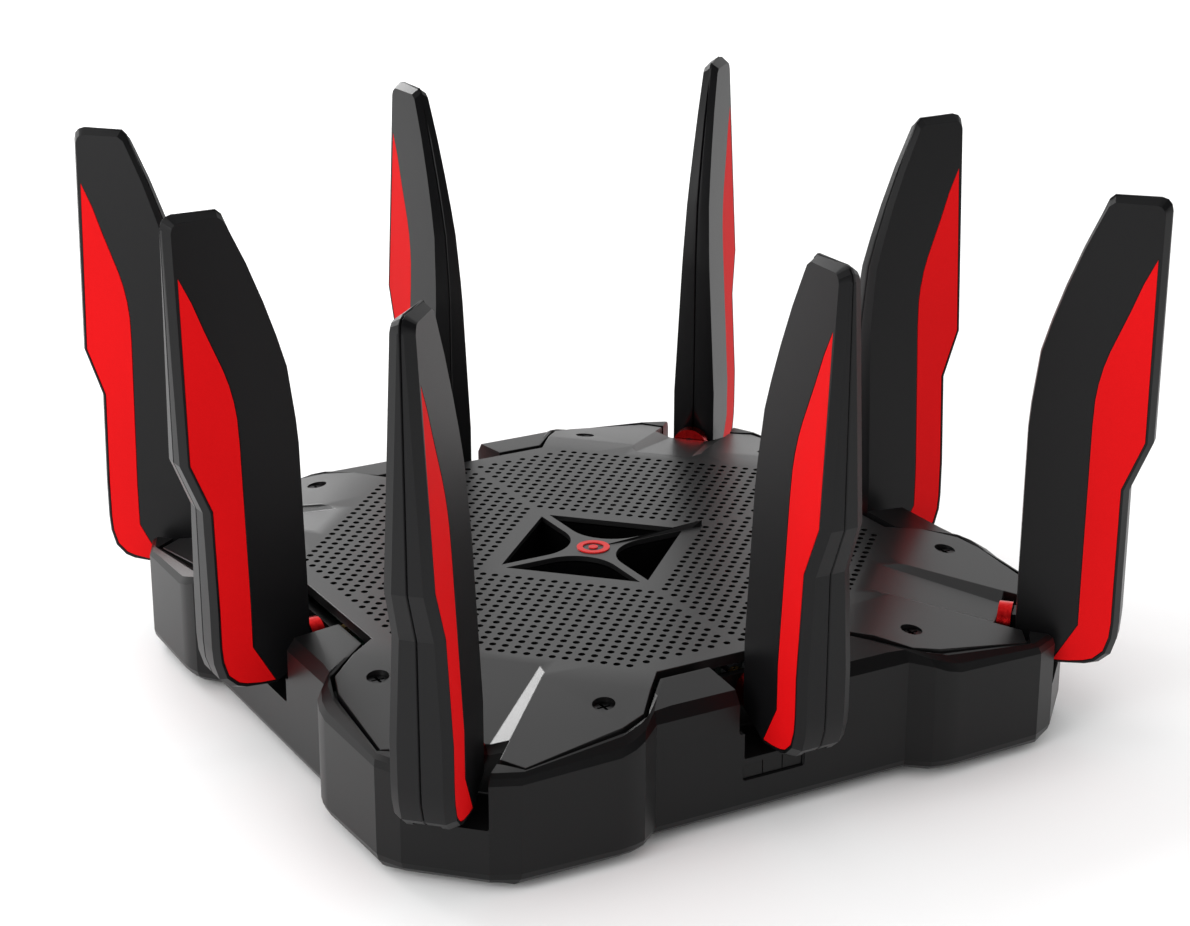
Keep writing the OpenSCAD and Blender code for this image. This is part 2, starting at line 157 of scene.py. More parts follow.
def finish_modifier(piece, kind, **settings):
    """Adds a modifier, gives it its settings and applies it."""
    use(piece)
    modifier = piece.modifiers.new(kind.title(), kind)
    for key, value in settings.items():
        setattr(modifier, key, value)
    bpy.ops.object.modifier_apply(modifier=modifier.name)
    return piece


def carve(piece, tool, operation="DIFFERENCE"):
    """Cuts the tool out of the piece, or joins it on, and throws the tool away."""
    finish_modifier(piece, "BOOLEAN", object=tool, operation=operation, solver="EXACT")
    bpy.data.objects.remove(tool)
    return piece


def flat_faces(piece, smooth=35):
    """Shades small roundings smooth and keeps the large faces flat."""
    use(piece)
    bpy.ops.object.shade_smooth_by_angle(angle=math.radians(smooth))
    return finish_modifier(piece, "WEIGHTED_NORMAL", mode="FACE_AREA", weight=50, keep_sharp=True)


def soften(piece, width, angle, segments=2, smooth=35):
    """Rounds every edge sharper than the angle."""
    finish_modifier(piece, "BEVEL", width=width * MM, segments=segments, limit_method="ANGLE",
                    angle_limit=math.radians(angle), harden_normals=False, use_clamp_overlap=True)
    return flat_faces(piece, smooth)


def copy_of(piece, name):
    twin = piece.copy()
    twin.data = piece.data.copy()
    twin.name = twin.data.name = name
    bpy.context.scene.collection.objects.link(twin)
    return twin


def joined(pieces, name):
    nothing_selected()
    for piece in pieces:
        piece.select_set(True)
    bpy.context.view_layer.objects.active = pieces[0]
    bpy.ops.object.join()
    pieces[0].name = pieces[0].data.name = name
    return pieces[0]


def turned(piece, angle, out=0.0):
    """Moves a mesh out along X and turns it round the router's middle, in the mesh itself."""
    piece.data.transform(Matrix.Rotation(math.radians(angle), 4, "Z") @ Matrix.Translation((out * MM, 0, 0)))
    return piece


def diag(u, w):
    """A plan point given along and across a diagonal."""
    return ((u - w) * math.sqrt(0.5), (u + w) * math.sqrt(0.5))


def on_four_sides(points):
    """The points of one side, repeated on the other three."""
    ring = []
    for a in (0, 90, 180, 270):
        c, s = math.cos(math.radians(a)), math.sin(math.radians(a))
        ring += [(p[0] * c - p[1] * s, p[0] * s + p[1] * c, *p[2:]) for p in points]
    return ring


# %% [markdown]
# ## Shader writing
# A surface's numbers are written as sums in Python. Value wraps one socket, so that 0.4 + 0.1 * grain
# makes the Math nodes by itself. Every other node comes from Finish.node.

# %% A value that can be reckoned with, and a finish that collects nodes
class Value:
    def __init__(self, finish, socket):
        self.finish, self.socket = finish, socket

    def reckon(self, operation, first, second):
        return self.finish.node("ShaderNodeMath", {"operation": operation}, {0: first, 1: second})

    def __add__(self, other):
        return self.reckon("ADD", self, other)

    def __radd__(self, other):
        return self.reckon("ADD", other, self)

    def __sub__(self, other):
        return self.reckon("SUBTRACT", self, other)

    def __rsub__(self, other):
        return self.reckon("SUBTRACT", other, self)

    def __mul__(self, other):
        return self.reckon("MULTIPLY", self, other)

    def __rmul__(self, other):
        return self.reckon("MULTIPLY", other, self)


class Finish:
    """One material. node() adds a node from its settings and the values of its sockets."""

    def __init__(self, name, roughness=0.5, metallic=0.0, **constants):
        self.material = bpy.data.materials.new(name)
        self.material.use_nodes = True
        self.tree = self.material.node_tree
        self.shader = self.tree.nodes["Principled BSDF"]
        self.shader.inputs["Roughness"].default_value = roughness
        self.shader.inputs["Metallic"].default_value = metallic
        for key, value in constants.items():
            self.shader.inputs[key.replace("_", " ")].default_value = value

    def node(self, kind, settings=None, sockets=None, output=0):
        node = self.tree.nodes.new(kind)
        for key, value in (settings or {}).items():
            if key == "stops":
                for stop, (place, colour) in zip(node.color_ramp.elements, value):
                    stop.position, stop.color = place, (*colour, 1)
            else:
                setattr(node, key, value)
        for key, value in (sockets or {}).items():
            if isinstance(value, Value):
                self.tree.links.new(value.socket, node.inputs[key])
            else:
                node.inputs[key].default_value = value
        return Value(self, node.outputs[output])

    def set(self, socket, value):
        self.tree.links.new(value.socket, self.shader.inputs[socket])

    def place(self):
        """Where a point lies on its own object, in metres."""
        return self.node("ShaderNodeTexCoord", output=3)

    def noise(self, scale, detail, roughness=0.5):
        return self.node("ShaderNodeTexNoise", {}, {"Vector": self.place(), "Scale": scale,
                                                    "Detail": detail, "Roughness": roughness})

    def shade(self, amount, dark, light):
        """A colour between two, by an amount from 0 to 1."""
        return self.node("ShaderNodeValToRGB", {"stops": [(0.3, dark), (0.7, light)]}, {"Fac": amount})

    def bump(self, height, depth):
        sockets = {"Height": height, "Distance": depth * MM, "Strength": 1.0}
        self.set("Normal", self.node("ShaderNodeBump", {}, sockets))


def moulded(name, dark, light, roughness, grain, depth, spread=0.06, **constants):
    """Moulded plastic: a fine spark-eroded grain, and slow changes of shine and tone."""
    f = Finish(name, roughness, **constants)
    slow = f.noise(14.0, 2.0)
    fine = f.noise(grain, 2.0, 0.6)
    f.set("Base Color", f.shade(0.6 * slow + 0.4 * fine, dark, light))
    f.set("Roughness", roughness - spread + 2 * spread * (0.5 * slow + 0.5 * fine))
    f.bump(fine, depth)
    return f.material

# %% [markdown]
# ## Plastics and rubber
# The box and the blades are the same black plastic with a fine grain from the spark-eroded mould. It could
# be one flat colour, but then every face would look painted: so two noises, one slow and one fine, change
# its tone and shine a little, and the fine one gives the grain its relief. Black plastic takes nearly all
# its tone from what it mirrors at a low angle, so its shine matters more than its colour.

# %% Plastics and rubber
DULL = {"Specular_IOR_Level": 0.2}
case_black = moulded("case_black", (0.0030, 0.0030, 0.0032), (0.0048, 0.0048, 0.0050), 0.34, 2600, 0.010,
                     **DULL)
cover_grey = moulded("cover_grey", (0.0040, 0.0040, 0.0042), (0.0070, 0.0070, 0.0072), 0.34, 2300, 0.014,
                     Specular_IOR_Level=0.5)
antenna_black = moulded("antenna_black", (0.0030, 0.0030, 0.0034), (0.0048, 0.0048, 0.0052), 0.36, 2500,
                        0.012, **DULL)
button_black = moulded("button_black", (0.004, 0.004, 0.004), (0.006, 0.006, 0.006), 0.40, 2800, 0.008, **DULL)
# The next black is painted shade: darker and duller, it goes on the vent walls and the cover's underside, where
# shade falls.
painted_shade_black = moulded("painted_shade_black", (0.0010, 0.0010, 0.0010), (0.0016, 0.0016, 0.0016), 0.7, 1500, 0.01,
                       Specular_IOR_Level=0.1)
gloss_black = moulded("gloss_black", (0.0015, 0.0015, 0.0016), (0.0022, 0.0022, 0.0024), 0.07, 900, 0.0005,
                      0.02, Coat_Weight=0.5, Coat_Roughness=0.03)
red_stripe = moulded("red_stripe", (0.57, 0.0030, 0.0045), (0.66, 0.0042, 0.0060), 0.55, 2400, 0.006,
                     Specular_IOR_Level=0.06)
red_mark = moulded("red_mark", (0.50, 0.010, 0.010), (0.60, 0.018, 0.018), 0.40, 2000, 0.004,
                   Specular_IOR_Level=0.2)
rubber = moulded("rubber", (0.008, 0.008, 0.008), (0.014, 0.014, 0.014), 0.75, 1500, 0.03)
board_green = moulded("board_green", (0.004, 0.030, 0.016), (0.010, 0.060, 0.030), 0.45, 700, 0.01)
cable_black = moulded("cable_black", (0.010, 0.010, 0.010), (0.016, 0.016, 0.016), 0.5, 1800, 0.01)
print(len(bpy.data.materials), "plastics and rubbers")

# %% [markdown]
# ## Metals
# The collars at the blades' roots are anodised red; pins, screws, cans, jacks and the heatsink inside keep
# the colour of their own metal. Drawn and turned metal is streaked, so one noise is stretched along Z and
# drives the tone, the shine and a very shallow relief together.

# %% Metals
def metal(name, dark, light, roughness, streak, depth):
    """Metal with a turned or drawn surface: a long soft streak along Z and small blotches."""
    f = Finish(name, roughness, 1.0)
    drawn = f.node("ShaderNodeMapping", {}, {"Vector": f.place(), "Scale": (streak, streak, streak * 0.12)})
    lines = f.node("ShaderNodeTexNoise", {}, {"Vector": drawn, "Scale": 1.0, "Detail": 3.0})
    f.set("Base Color", f.shade(lines, dark, light))
    f.set("Roughness", roughness - 0.06 + 0.16 * lines)
    f.bump(lines, depth)
    return f.material


red_metal = metal("red_metal", (0.55, 0.006, 0.008), (0.80, 0.020, 0.020), 0.18, 900, 0.004)
steel_dark = metal("steel_dark", (0.020, 0.020, 0.021), (0.040, 0.040, 0.042), 0.32, 1200, 0.004)
steel = metal("steel", (0.42, 0.42, 0.43), (0.58, 0.58, 0.60), 0.28, 1000, 0.004)
tin_plate = metal("tin_plate", (0.46, 0.46, 0.47), (0.66, 0.66, 0.67), 0.30, 500, 0.006)
aluminium = metal("aluminium", (0.50, 0.50, 0.51), (0.66, 0.66, 0.67), 0.36, 700, 0.006)
brass = metal("brass", (0.62, 0.42, 0.14), (0.78, 0.56, 0.22), 0.26, 900, 0.004)
print(len(bpy.data.materials), "finishes")

# %% [markdown]
# ## Who wears which finish
# The inside, the sockets, the screws, the buttons, the collars, the feet, the centre tray and its mark stay
# the CAD model's own meshes: they are small, plain or hidden, so each only gets a finish. A table from
# finish to nodes is easier to read, and to correct, than one line for each node.

# %% Who wears which finish
wears = {
    case_black: ["bottom_case"],
    cover_grey: ["top_cover", "rear_io_panel"],
    antenna_black: ["antenna_arms"],
    button_black: ["power_button", "wifi_button", "light_button", "pairing_button"],
    gloss_black: ["centre_tray", "dc_jack"],
    red_mark: ["emblem"],
    red_metal: ["antenna_collars"],
    steel_dark: ["cover_screws"],
    steel: ["hinge_pins", "case_screws"],
    tin_plate: ["lan_ports", "wan_port", "usb_ports", "shield_cans"],
    aluminium: ["heatsink"],
    brass: ["antenna_jacks"],
    board_green: ["main_board", "button_board", "emblem_light"],
    cable_black: ["coax_leads"],
    rubber: ["rubber_feet"],
}
PLACES = ["right", "rear_right", "rear", "rear_left", "left", "front_left", "front", "front_right"]
ANTENNAS = {name: 45 * i for i, name in enumerate(PLACES)}
for name in ANTENNAS:
    wears[antenna_black] += [f"ant_{name}_shell_a", f"ant_{name}_shell_b"]
    wears[board_green] += [f"ant_{name}_radiator"]
wears[red_stripe] = [f"ant_{name}_stripes" for name in ANTENNAS]


def paint(piece, finish):
    piece.data.materials.clear()
    piece.data.materials.append(finish)
    return piece


for finish, nodes in wears.items():
    for node in nodes:
        paint(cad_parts[node], finish)
print(sum(len(nodes) for nodes in wears.values()), "nodes painted")

# %% [markdown]
# ## One blade
# A blade is two half shells that meet at a seam in the middle of its edges. Its outer edge is a flat roof
# with a wide bevel down to each face, its top is cut the same way, and its inner edge curves over to the
# tip. One half is lofted from four outlines of the same number of points, from the seam to the side
# face. It starts with straight walls; then the loops are drawn in, because the blade thins towards the tip
# and towards its inner edge.

# %% The blade's outlines
INNER = [(0, 33), (0, 104), (0.5, 112), (2.4, 129), (5.2, 139), (8.8, 150), (13.7, 163), (18.5, 174),
         (20.3, 178.5)]
ROOF = INNER + [(22, 180), (36.0, 180), (37.9, 179.4), (39.1, 178.0), (39.6, 175.8), (39.6, 102.6), (33.3, 86.6),
                (33.3, 42.0), (32.9, 36.2), (31.0, 30.6), (27.4, 27.4), (23.6, 26.2), (13, 25.8)]
FACE = [(0.5, 33), (0.5, 104), (1.0, 112), (2.9, 129), (5.7, 139), (9.3, 150), (14.2, 163), (18.9, 173.4),
        (20.4, 176.6), (22.4, 178.0), (35.0, 178.0), (36.2, 177.6), (37.1, 176.6), (37.6, 175.2), (37.6, 103.0),
        (31.4, 87.0), (31.4, 42.2), (31.0, 37.0), (29.4, 31.6), (26.1, 28.4), (23.0, 27.3), (13.0, 26.4)]
STRIPE = [(36.4, 161.3), (32.7, 153.4), (29.3, 144.2), (26.5, 137.2), (24.1, 131.2), (22.5, 126.2), (21.3, 120.8),
          (20.6, 115.5), (20.3, 107), (20.3, 40.2), (13.0, 27.3), (18.0, 27.6), (22.7, 28.4), (25.5, 29.4),
          (28.6, 32.4), (30.1, 37.3), (30.5, 42.2), (30.5, 87.2), (36.8, 103.2)]
SEAM, SEAM_EDGE, BEVEL_EDGE, FACE_EDGE = 0.06, 0.42, 5.0, 9.0   # how far each outline lies from the middle
THIN_FROM = 55                                                  # the blade thins above this height


def half_width(rho, z):
    """Half the blade's thickness, in mm, at a place on its face."""
    return 7.9 + 0.0472 * rho - 0.05 * max(0.0, z - THIN_FROM)


def drawn_in(points, by):
    """An outline moved inwards by the same distance all round; a negative distance grows it."""
    area = sum(a[0] * b[1] - b[0] * a[1] for a, b in zip(points, points[1:] + points[:1]))
    side = 1 if area > 0 else -1
    moved = []
    for i, here in enumerate(points):
        before, after = Vector(points[i - 1]), Vector(points[(i + 1) % len(points)])
        a, b = (Vector(here) - before).normalized(), (after - Vector(here)).normalized()
        na, nb = Vector((-a.y, a.x)) * side, Vector((-b.y, b.x)) * side
        moved.append(tuple(Vector(here) + (na + nb) * by / max(0.35, 1 + na.dot(nb))))
    return moved


def lofted(name, loops):
    """A closed solid through loops of equal length; the first and the last are capped."""
    piece = outline(name, loops[0])
    pick(piece, "FACE", lambda c, n: True)
    for before, loop in zip(loops, loops[1:]):
        bpy.ops.mesh.extrude_region_move(TRANSFORM_OT_translate={"value": (0, 0, 0)})
        bpy.ops.object.mode_set(mode="OBJECT")
        for corner in piece.data.vertices:
            if corner.select:
                here = corner.co / MM
                nearest = min(range(len(before)),
                              key=lambda i: (Vector(before[i]) - here).length_squared)
                corner.co = Vector(loop[nearest]) * MM
        bpy.ops.object.mode_set(mode="EDIT")
    outward(piece)
    return piece


def shaped(piece, levels):
    """Draws the layers of a straight-walled half blade in to the blade's real thickness.

    The cuts just under and over the bend keep it crisp, with flat faces above and below."""
    pick(piece, "VERT", lambda p: True)
    for z in (THIN_FROM - 5, THIN_FROM, THIN_FROM + 5):
        bpy.ops.mesh.select_all(action="SELECT")
        bpy.ops.mesh.bisect(plane_co=(0, 0, z * MM), plane_no=(0, 0, 1))
    bpy.ops.object.mode_set(mode="OBJECT")
    for corner in piece.data.vertices:
        rho, y, z = corner.co / MM
        for level, back in levels.items():
            if abs(y - level) < 0.01:
                corner.co.y = (half_width(rho, z) + back) * MM
    return piece


def layer(points, y):
    """An outline given outwards and upwards, stood up at a distance from the blade's middle."""
    return [(rho, y, z) for rho, z in points]


draft = [(r - (0.25 if r > 32 else 0), z) for r, z in ROOF]
half = lofted("half_blade", [layer(drawn_in(ROOF, 0.4), SEAM), layer(ROOF, SEAM_EDGE),
                             layer(draft, BEVEL_EDGE), layer(FACE, FACE_EDGE)])
shaped(half, {BEVEL_EDGE: -2.8, FACE_EDGE: 0.0})
soften(half, 0.22, 20, 2)
pocket_edge = drawn_in(STRIPE, -0.3)
pocket = lofted("pocket", [layer(pocket_edge, BEVEL_EDGE), layer(pocket_edge, FACE_EDGE)])
shaped(pocket, {BEVEL_EDGE: -0.6, FACE_EDGE: 1.0})
carve(half, pocket)
carve(half, block("notch", -2, 28.9, -4.3, 4.3, 18, 40))
flat_faces(half)
stripe = lofted("stripe", [layer(STRIPE, BEVEL_EDGE), layer(STRIPE, FACE_EDGE)])
shaped(stripe, {BEVEL_EDGE: -0.62, FACE_EDGE: -0.06})
flat_faces(stripe)
print("half blade:", len(half.data.polygons), "faces; stripe:", len(stripe.data.polygons))

# %% [markdown]
# ## Eight blades
# Both halves come out of mirrored moulds, so one half and one stripe are enough: the other side is a copy
# with Y turned round. That also turns its faces inside out, so they are flipped, and its shading is worked
# out again. Then each blade is copied, moved out to its slot and turned, all in the mesh, so that the
# object stays at the origin. The corner blades stand further out than the side blades.

# %% Eight blades, each of two halves and two stripes
SIDE_ROOT, CORNER_ROOT = 107.3, 143.7


def other_side(piece, name):
    twin = copy_of(piece, name)
    twin.data.transform(Matrix.Scale(-1, 4, (0, 1, 0)))
    use(twin)
    bpy.ops.object.mode_set(mode="EDIT")
    bpy.ops.mesh.select_all(action="SELECT")
    bpy.ops.mesh.flip_normals()
    bpy.ops.object.mode_set(mode="OBJECT")
    return flat_faces(twin)


half_b = other_side(half, "half_blade_b")
stripe_b = other_side(stripe, "stripe_b")
for name, angle in ANTENNAS.items():
    out = SIDE_ROOT if angle % 90 == 0 else CORNER_ROOT
    body = f"antenna_{name}"
    for side, source in (("b", half), ("a", half_b)):
        shell = paint(turned(copy_of(source, f"{name}_blade_{side}"), angle, out), antenna_black)
        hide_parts(f"ant_{name}_shell_{side}")
        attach(shell, body)
    both = joined([copy_of(stripe, "stripe_1"), copy_of(stripe_b, "stripe_2")], f"{name}_blade_stripes")
    paint(turned(both, angle, out), red_stripe)
    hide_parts(f"ant_{name}_stripes")
    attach(both, body)
for source in (half, half_b, stripe, stripe_b):
    bpy.data.objects.remove(source)
print("eight blades")

# %% [markdown]
# ## The casing
# The walls are one skin through a stack of loops: the rounded bottom edge, the wall, the soft shoulder, and
# the lip of the groove that the cover drops into. The mid block on each side is the part of the lip that
# rises to the plate. The casing is then hollowed, and the antenna slots, the rear bay and the button recess
# are cut out of it.

# %% The casing's loops
BOTTOM = [(122.4, 94.6), (122.0, 61), (121.6, 56.6), (120.4, 53.0), (115.3, 47.6), (115.3, 40)]
WALL = [(124.8, 93.3), (126, 61), (125.6, 56), (124.5, 52.2), (119.3, 45.4), (119.3, 39)]
SHOULDER = [(124.8, 93.3, 34.9), (126, 61, 36.2), (125.6, 56, 37.4), (124.5, 52.2, 39.0),
            (119.3, 45.4, 40.3), (119.3, 39, 40.3)]
UPPER = [(124.2, 92.6, 37.0), (125.0, 60.4, 38.9), (124.4, 55.6, 40.2), (122.6, 51.0, 41.6),
         (117.2, 45.0, 43.9), (116.6, 39, 44.1)]
EDGE = [(123.2, 91.4, 38.2), (122.0, 58.4, 41.0), (120.6, 51.4, 42.9), (118.2, 47.2, 43.9),
        (110.0, 39.6, 44.8), (102.4, 32.9, 45.4)]
LIP = [(122.6, 90.6, 38.3), (121.0, 57.0, 41.4), (118.3, 47.9, 43.3), (116.6, 46.5, 43.6),
       (108.2, 39.4, 44.8), (101.4, 33.6, 45.4)]


def ring(half_side, corner_u, corner_w, z, corner_z=None):
    """A loop round the router from half a side's points and half of the flat across its corner."""
    points = [(p[0], p[1], p[2] if len(p) > 2 else z) for p in half_side]
    side = [(x, -y, h) for x, y, h in points] + [(x, y, h) for x, y, h in reversed(points)]
    end = z if corner_z is None else corner_z
    return on_four_sides(side + [(*diag(corner_u, -corner_w), end), (*diag(corner_u, corner_w), end)])


def tapered(t):
    """The lowest part of the wall, between the bottom edge at 0 and the wall at 1."""
    return [tuple(p + (q - p) * t for p, q in zip(a, b)) for a, b in zip(BOTTOM, WALL)]


loops = [
    ring(BOTTOM, 153.6, 12.2, 2.5),
    ring(tapered(0.4), 155.4, 12.7, 3.1),
    ring(tapered(0.8), 156.8, 13.2, 4.6),
    ring(WALL, 157.5, 13.5, 6.6),
    ring(SHOULDER, 157.5, 13.5, 0, 34.9),
    ring(UPPER, 156.8, 13.7, 0, 37.0),
    ring(EDGE, 155.0, 14.2, 0, 38.2),
    ring(LIP, 149.4, 15.4, 0, 38.3),
    ring([(x, y, z - 6) for x, y, z in LIP], 149.4, 15.4, 0, 32.3),
]
casing = lofted("casing", loops)
print("casing skin:", len(casing.data.polygons), "faces")

# %% [markdown]
# ## The casing's inside and its openings
# A moulded casing is a wall of even thickness with blocks where something stands in it. The cavity could be
# one more stack of loops, but it is hardly seen, so a plain prism is cut out. Each antenna gets a solid block
# first and its slot second, so that the slot has a floor and sides. All edges are rounded once at the end.

# %% Hollow it, add the slot blocks, and cut the slots
WALL_THICKNESS = 2.6
inside = [p[:2] for p in ring([(x - WALL_THICKNESS, y) for x, y in WALL], 154.9, 13.0, 0)]
carve(casing, prism("cavity", inside, 5.0, 32.0))
MOUTH = [(118.0, 88.0), (116.8, 57.4), (114.4, 51.0), (104.6, 44.0), (96.0, 38.0)]
carve(casing, prism("mouth", [p[:2] for p in ring(MOUTH, 143.5, 14.4, 0)], 28.0, 60.0))
for a in (0, 90, 180, 270):
    carve(casing, turned(block("well_block", 97.6, 117.8, -18.6, 18.6, 20.0, 40.0), a), "UNION")
    carve(casing, turned(block("corner_block", 134.2, 155.6, -15.6, 15.6, 19.0, 35.0), a + 45), "UNION")
    carve(casing, turned(block("slot", 99.8, 140, -14.5, 14.5, 21.6, 60, 0.8), a))
    carve(casing, turned(block("slot_top", 99.8, 140, -16.5, 16.5, 30, 60, 1.2), a))
    carve(casing, turned(block("corner_slot", 136.2, 180, -13.5, 13.5, 20.8, 60, 0.8), a + 45))
carve(casing, block("rear_bay", -88, 88, 114.6, 140, 4, 18.4, 0.8))
USB_OUT = 26
for middle in (-USB_OUT, USB_OUT):
    carve(casing, block("usb_hole", 112, 124, middle - 7.1, middle + 7.1, 7.2, 14.2, 0.5))
carve(casing, block("button_recess", -15, 7.5, -124, -118.3, 14.2, 19.9, 1.2))
carve(casing, block("button_hole", -14.6, 7.1, -124, -112, 14.5, 19.6))
soften(casing, 0.9, 14, 3, 50)
paint(casing, case_black)
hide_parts("bottom_case")
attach(casing, "router")
print("casing:", len(casing.data.polygons), "faces")

# %% [markdown]
# ## The cover
# The cover is a thin sheet: a flat plate, four sloping corner panels, and a channel down the middle of each
# panel. The outside edge and the folds are rounded first. Then the flat part is opened and filled again
# round four fields of vent holes and the four wells of the diamond, and the sheet gets its thickness last.

# %% The cover's facets
TOP = 45.9                  # the height of the flat plate
FOLD = 104.6                # where a corner panel starts to slope, out along the diagonal
HEAD, HEAD_HALF = 97.5, 10.7     # the flat head of the channel
CHANNEL, CHANNEL_HALF = 137.5, 13.5   # the end of the channel at the antenna's slot


def panel_z(u):
    """The height of a sloping corner panel."""
    return TOP - 0.175 * max(0.0, u - FOLD)


def on_panel(u, w):
    return (*diag(u, w), panel_z(u))


def rim_point(x, y):
    """A point of the cover's outside edge, given in plan."""
    return (x, y, panel_z((abs(x) + abs(y)) * math.sqrt(0.5)))


FOLD_HALF = 47.2            # the fold ends here, at the mid side's step
channel_head = [(*diag(HEAD, -HEAD_HALF), TOP), (*diag(HEAD, HEAD_HALF), TOP)]
shoulder = [on_panel(101.3, CHANNEL_HALF), on_panel(FOLD, CHANNEL_HALF), on_panel(FOLD, FOLD_HALF)]
mid_side = [(32.5, 97.4, TOP), (-32.5, 97.4, TOP)]
flat_loop = on_four_sides(channel_head + shoulder + mid_side + [(-x, y, z) for x, y, z in reversed(shoulder)])
sheets = [outline("plate", flat_loop)]
for a in (0, 90, 180, 270):
    for s in (-1, 1):
        half_channel = s * CHANNEL_HALF
        flank = [on_panel(FOLD, half_channel), on_panel(FOLD, s * FOLD_HALF)]
        rim = [(117, 48.5), (119.6, 57), (121.2, 90)]
        flank += [rim_point(*((x, y) if s < 0 else (y, x))) for x, y in rim]
        flank += [on_panel(147, s * 14), on_panel(147, half_channel), on_panel(CHANNEL, half_channel)]
        facet = [(*diag(HEAD, s * HEAD_HALF), TOP), on_panel(101.3, half_channel), on_panel(FOLD, half_channel),
                 on_panel(CHANNEL, half_channel), (*diag(CHANNEL, s * 7.6), 38.0)]
        for shape in (flank, facet):
            sheets.append(turned(outline("facet", shape), a))
    foot = [(*diag(CHANNEL, 7.6), 38.0), (*diag(CHANNEL, -7.6), 38.0)]
    sheets.append(turned(outline("floor", channel_head + foot), a))
cover = joined(sheets, "cover")
pick(cover, "VERT", lambda p: True)
bpy.ops.mesh.remove_doubles(threshold=0.02 * MM)
face_up(cover)
print("cover facets:", len(cover.data.polygons))

# %% [markdown]
# ## The cover's rim
# The cover dips into a groove of the casing, so its outside edge goes straight down a little way. The open
# edges are found by their having one face only, and are extruded. The bevel has to come now, while every
# edge is a real fold: later the flat part is full of small triangles.

# %% Drop the rim, and round the rim and the folds
pick_open_edges(cover, False)
pull(-3.4)
bpy.ops.object.mode_set(mode="OBJECT")
finish_modifier(cover, "BEVEL", width=0.8 * MM, segments=3, limit_method="ANGLE",
                angle_limit=math.radians(12), use_clamp_overlap=True)
print("cover with rim:", len(cover.data.polygons))

# %% [markdown]
# ## The vent holes
# The plate has more than a thousand round vents in four fields, set in rows along the diagonals. Cutting
# each with a Boolean would be slow and untidy. One square cell with a hole of twelve sides is made instead,
# repeated along a row with an Array, and the rows are joined. Each field is then trimmed to its quarter.

# %% One vent cell, and four fields of them
PITCH, HOLE = 4.1, 1.15          # the distance between vents, and a vent's radius
FIRST_ROW, ROWS = 32.4, 15
RIB, FIELD_END = 3.54, 127       # half of the bare rib between two fields, and where the rows run out


def on_circle(radius, degrees):
    return radius * math.cos(math.radians(degrees)), radius * math.sin(math.radians(degrees))


cell = outline("cell", [(*on_circle(HOLE, 30 * i), TOP) for i in range(12)], "NOTHING")
corners = [(-PITCH / 2, -PITCH / 2), (PITCH / 2, -PITCH / 2), (PITCH / 2, PITCH / 2), (-PITCH / 2, PITCH / 2)]
square = outline("square", [(x, y, TOP) for x, y in corners], "NOTHING")
cell = joined([cell, square], "cell")
pick(cell, "EDGE", lambda a, b: True)
bpy.ops.mesh.fill(use_beauty=True)
bpy.ops.object.mode_set(mode="OBJECT")
rows = []
holes = 0
for i in range(ROWS):
    u = FIRST_ROW + PITCH * i
    reach = int(min(u - RIB, FIELD_END - u) / PITCH)
    row = copy_of(cell, "row")
    row.data.transform(Matrix.Translation((u * MM, -reach * PITCH * MM, 0)))
    finish_modifier(row, "ARRAY", count=2 * reach + 1, use_relative_offset=False, use_constant_offset=True,
                    constant_offset_displace=(0, PITCH * MM, 0), use_merge_vertices=True,
                    merge_threshold=0.05 * MM)
    rows.append(row)
    holes += 4 * (2 * reach + 1)
field = turned(joined(rows, "field"), 45)
pick(field, "VERT", lambda p: True)
bpy.ops.mesh.remove_doubles(threshold=0.05 * MM)
for across in ((1, 0, 0), (0, 1, 0)):
    bpy.ops.mesh.select_all(action="SELECT")
    bpy.ops.mesh.bisect(plane_co=(0.15 * MM, 0.15 * MM, 0), plane_no=across, clear_inner=True)
bpy.ops.object.mode_set(mode="OBJECT")
fields = [turned(copy_of(field, "field_copy"), a) for a in (0, 90, 180, 270)]
bpy.data.objects.remove(field)
bpy.data.objects.remove(cell)
print(holes, "vent holes")

# %% [markdown]
# ## Opening and filling the flat part
# The one big face of the plate is taken away. Its edge, the edges of the four fields and the edges of the
# four wells then lie in one plane, and Fill lays triangles between them all. Fill closes every loop that is
# selected, so the rims of the vents are left out: they are the edges as long as a side of a vent.

# %% Open the flat part and fill it round the fields and the wells
STRUT, DIAMOND = 1.5, 35.7       # half of a strut between two wells, and the diamond's corner
BEND, BEND_MIDDLE = 15.5, 17     # the round inner corner of a well


def well_points():
    """One well of the diamond, between the +X and +Y corners, with its rounded inner corner."""
    arc = [on_circle(BEND, 7.5 * i) for i in range(13)]
    arc = [(BEND_MIDDLE - x, BEND_MIDDLE - y) for x, y in arc]
    return [(STRUT, DIAMOND - STRUT)] + arc + [(DIAMOND - STRUT, STRUT)]


plate_top = max(cover.data.polygons, key=lambda f: f.area).index
for face in cover.data.polygons:
    face.select = face.index == plate_top
use(cover)
bpy.ops.object.mode_set(mode="EDIT")
bpy.ops.mesh.select_mode(type="FACE")
bpy.ops.mesh.delete(type="ONLY_FACE")
bpy.ops.object.mode_set(mode="OBJECT")
well_edge = [(x, y, TOP) for x, y in well_points()]
wells = [turned(outline("well_edge", well_edge, "NOTHING"), a) for a in (0, 90, 180, 270)]
cover = joined([cover] + fields + wells, "cover")
pick_open_edges(cover, True)
bpy.ops.object.mode_set(mode="OBJECT")
at = cover.data.vertices
vent_side = 2 * HOLE * math.sin(math.radians(15))
for edge in cover.data.edges:
    if edge.select:
        a, b = (at[i].co / MM for i in edge.vertices)
        in_plane = abs(a.z - TOP) < 0.01 and abs(b.z - TOP) < 0.01
        edge.select = in_plane and abs((a - b).length - vent_side) >= 0.03
bpy.ops.object.mode_set(mode="EDIT")
bpy.ops.mesh.fill(use_beauty=True)
bpy.ops.object.mode_set(mode="OBJECT")
